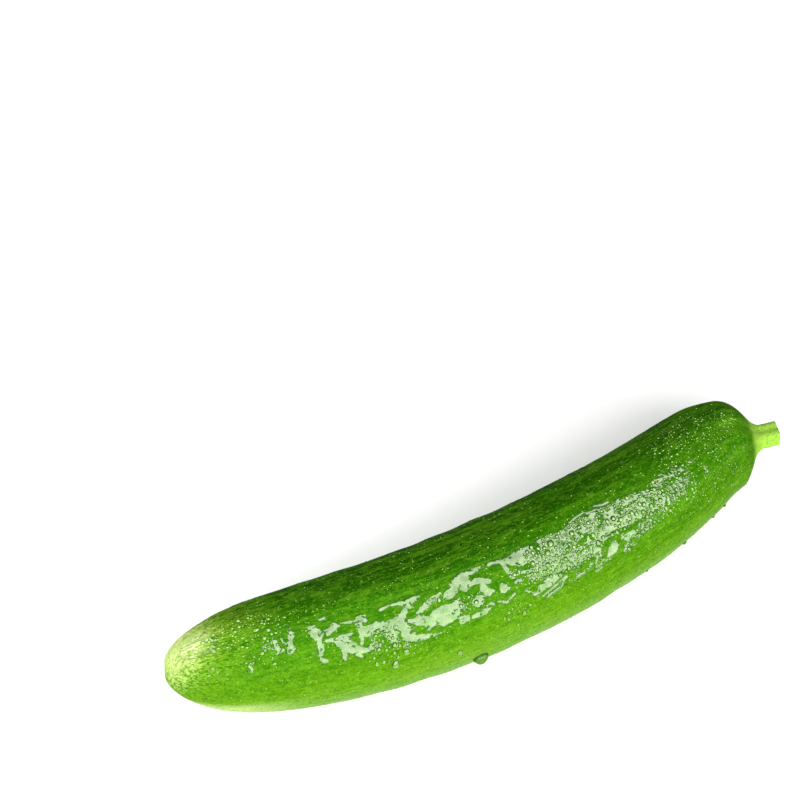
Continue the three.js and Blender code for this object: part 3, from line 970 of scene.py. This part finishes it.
def make_drops(material):
    """The large single drops, each a smooth dome with an uneven outline and its weight low down."""
    rng = np.random.default_rng(8)
    share = np.array([0.0, *np.linspace(0.08, 1, DROP_RINGS), 1.0])
    bearing = np.arange(DROP_SIDES) * 2 * math.pi / DROP_SIDES
    parts, alongs, angles, drop_shades = [], [], [], []
    for at_u, at_v, radius, stretch, fullness in DROPS:
        phases = rng.uniform(0, 2 * math.pi, 2)
        rim = radius * (1 + 0.08 * np.cos(2 * bearing + phases[0]) + 0.06 * np.cos(3 * bearing + phases[1]))
        out_u = share[1:, None] * rim * np.cos(bearing)
        out_v = share[1:, None] * rim * np.sin(bearing)
        # A ball cut off low enough for its sides to stand up as full as the drop is
        ball = 1 + 0.22 / fullness**4
        rise = np.sqrt(ball**2 - share[1:-1, None] ** 2) - math.sqrt(ball**2 - 1)
        lift = radius * rise * (1 + 0.22 * out_v[:-1] / radius)
        lift = np.concatenate([lift, np.full((1, DROP_SIDES), -WATER_SUNK)])
        top, under = radius * (ball - math.sqrt(ball**2 - 1)), -WATER_SUNK
        out_u = np.concatenate([[0], out_u.ravel(), [0]])
        out_v = np.concatenate([[0], out_v.ravel() * stretch, [0]])
        lift = np.concatenate([[top], lift.ravel(), [under]])
        along, angle = (at_u + out_u) * MM, BAND_ANGLE + (at_v + out_v) / V_RADIUS
        parts.append(skin_point(along, angle, lift * MM))
        alongs.append(along)
        angles.append(angle)
        # Hanging drops get painted shade all over, the largest most
        drop_shades.append(0.15 * (fullness > 1) + 0.40 * (fullness > 1.8))
    first = (np.arange(len(DROPS)) * len(parts[0]))[:, None, None]
    rings = ringed_faces(DROP_RINGS + 1, DROP_SIDES)
    faces = [(part[None] + first).reshape(-1, part.shape[1]) for part in rings]
    made = new_object("water_drops", np.concatenate(parts), faces, material)
    add_skin_places(made, np.concatenate(alongs), np.concatenate(angles))
    outward = np.concatenate([[0], np.repeat(share[1:], DROP_SIDES), [0]])
    low_down = outward * np.concatenate([[0], np.tile(np.sin(bearing), len(share) - 1), [0]])
    # Painted shade round the rim, less low down, and a painted glint low down where the drop would focus
    # light
    dark = smoothstep(outward, 0.6, 1.0) * (1 - 0.4 * smoothstep(low_down, 0, 0.5))
    light = smoothstep(low_down, 0.1, 0.7) * (1 - smoothstep(outward, 0.75, 0.95))
    add_attribute(made, "rim", "FLOAT", np.maximum(dark, np.array(drop_shades)[:, None]))
    add_attribute(made, "glint", "FLOAT", np.tile(light * 0.8, len(DROPS)))
    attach(made, "root")


def make_water():
    material = wet_skin()
    crowd = crowd_beads()
    single = np.array([(u, v, radius) for u, v, radius, _, _ in DROPS])
    film = make_films("water_front", FRONT, 11, material, np.concatenate([crowd, single]))
    make_films("water_back", BACK, 23, material)
    make_drops(material)
    make_beads("water_crowd", crowd, 4, 12, material, film, 1.0)
    rng = np.random.default_rng(5)
    fine = []
    for count, u_range, v_range, largest in FINE_BEADS:
        u, v = rng.uniform(*u_range, count), rng.uniform(*v_range, count)
        size = SMALLEST_FINE_BEAD + (largest - SMALLEST_FINE_BEAD) * rng.random(count) ** 2
        fine.append(np.stack([u, v, size], 1))
    make_beads("water_beads", np.concatenate(fine), 2, 8, material, film, 0.4)


def floor_finish():
    f = Finish("pale_floor")
    return f.surface(f.node("ShaderNodeBsdfPrincipled", None, {
        "Base Color": (0.94, 0.94, 0.93), "Roughness": 0.85}))


FLOOR_REACH = 3.0
FLOOR_CLEARANCE = 0.00005


def make_floor():
    corners = [(x * FLOOR_REACH, y * FLOOR_REACH, 0) for x, y in ((-1, -1), (1, -1), (1, 1), (-1, 1))]
    floor = new_object("floor", corners, [[(0, 1, 2, 3)]], floor_finish(), smooth=False)
    floor.location.z = -FLOOR_CLEARANCE


# The camera looks down on the front of the cucumber from the blossom end's side
CAMERA_PLACE = Vector((-0.2586, -0.4978, 0.6703))
CAMERA_AIM = Vector((-0.0015, 0.0026, 0.0))
AIM_RIGHT = -0.0215
AIM_UP = 0.0503
LENS = 153.8


def make_camera():
    data = bpy.data.cameras.new("camera")
    data.lens = LENS
    camera = bpy.data.objects.new("camera", data)
    bpy.context.scene.collection.objects.link(camera)
    level = (CAMERA_AIM - CAMERA_PLACE).to_track_quat("-Z", "Y")
    framed = CAMERA_AIM + level @ Vector((AIM_RIGHT, AIM_UP, 0))
    nudge = (CAMERA_AIM - CAMERA_PLACE).rotation_difference(framed - CAMERA_PLACE)
    camera.location = CAMERA_PLACE
    camera.rotation_euler = (nudge @ level).to_euler()
    bpy.context.scene.camera = camera


def add_softbox(name, place, aim, size, brightness, tint=(1.0, 1.0, 1.0)):
    """A rectangular soft light whose face is as bright as the number given, where 1 is a lit white card."""
    data = bpy.data.lights.new(name, "AREA")
    data.shape = "RECTANGLE"
    data.size, data.size_y = size
    data.energy = brightness * math.pi * size[0] * size[1]
    data.color = tint
    light = bpy.data.objects.new(name, data)
    bpy.context.scene.collection.objects.link(light)
    light.visible_transmission = False
    light.location = place
    light.rotation_euler = (Vector(aim) - Vector(place)).to_track_quat("-Z", "Y").to_euler()
    return light


# Each light: name, place, aim, size and brightness. Soft light gives the colours, and the gleams show only as
# gloss. The one behind lies a little nearer than its softbox, because two in one plane hide each other.
SOFTBOXES = (
    ("front_softbox", (-0.15, -0.80, 0.40), (0.0, 0, 0.01), (1.2, 0.8), 7.0),
    ("behind_softbox", (-0.17, 0.07, 0.12), (-0.08, 0.003, 0.023), (0.12, 0.12), 5.4),
)
GLEAMS = (
    ("front_gleam", (0.285, -0.535, 0.595), (0.285, 0, 0), (2.01, 1.44), 8.7),
    ("behind_gleam", (-0.166, 0.067, 0.1157), (-0.08, 0.003, 0.023), (0.12, 0.12), 6.5),
)
GLEAM_TINT = (1.0, 0.97, 0.84)
ROOM_TINT = (0.98, 0.99, 1.0)
ROOM_BRIGHTNESS = 0.6


def make_lights():
    for box in SOFTBOXES:
        add_softbox(*box).visible_glossy = False
    for box in GLEAMS:
        add_softbox(*box, GLEAM_TINT).visible_diffuse = False
    world = bpy.data.worlds.new("studio")
    world.use_nodes = True
    background = world.node_tree.nodes["Background"]
    background.inputs["Color"].default_value = (*ROOM_TINT, 1)
    background.inputs["Strength"].default_value = ROOM_BRIGHTNESS
    bpy.context.scene.world = world
    bpy.context.scene.view_settings.view_transform = "Standard"


make_camera()
make_lights()
make_floor()
make_skin()
make_water()
